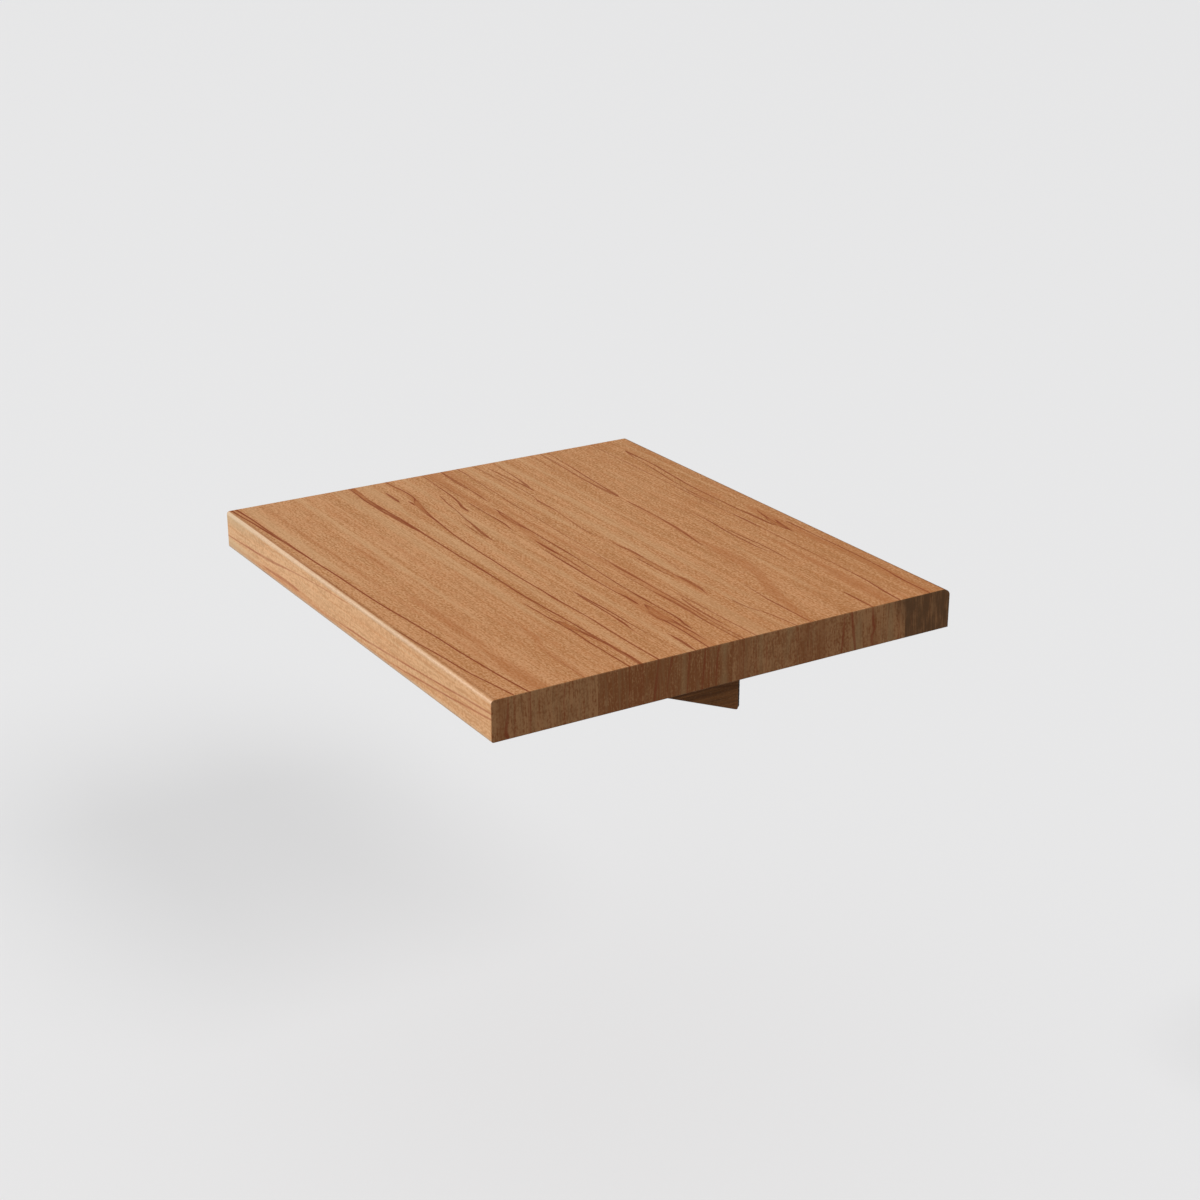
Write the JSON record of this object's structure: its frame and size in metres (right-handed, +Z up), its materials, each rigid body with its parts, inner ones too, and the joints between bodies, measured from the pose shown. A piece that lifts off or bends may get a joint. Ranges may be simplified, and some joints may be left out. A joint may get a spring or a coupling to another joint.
{
  "type": "hook-on bedside shelf",
  "caption": "Solid beech bedside shelf that hooks over a bed's side rail, propped from below by a triangular arm.",
  "frame": {"origin": "middle of the seat on the board's underside, over the centre line of the bed rail", "axes": "+X along the rail, +Y across the rail towards the bed, +Z up"},
  "size_m": [0.4, 0.35, 0.1513],
  "materials": {
    "beech_board": "oiled heartwood beech, edge-glued, grain along the rail, satin",
    "beech_arm": "oiled heartwood beech, grain along the arm, satin",
    "beech_dowel": "raw fluted beech dowel",
    "zinc_steel": "bright zinc-plated mild steel",
    "screw_steel": "yellow passivated wood screw",
    "felt": "dense dark wool felt, matt"
  },
  "bodies": {
    "root": {"board_stave_1": "beech_board", "board_stave_2": "beech_board", "board_stave_3": "beech_board", "board_stave_4": "beech_board", "board_stave_5": "beech_board", "bracket_arm": "beech_arm", "arm_foot_pad": "felt", "arm_dowel_1": "beech_dowel", "arm_dowel_2": "beech_dowel", "arm_dowel_3": "beech_dowel", "arm_screw_1": "screw_steel", "arm_screw_2": "screw_steel", "hook_plate_far": "zinc_steel", "hook_pad_far": "felt", "hook_screw_far_1": "screw_steel", "hook_screw_far_2": "screw_steel", "hook_screw_far_3": "screw_steel", "hook_plate_near": "zinc_steel", "hook_pad_near": "felt", "hook_screw_near_1": "screw_steel", "hook_screw_near_2": "screw_steel", "hook_screw_near_3": "screw_steel"}
  },
  "joints": []
}
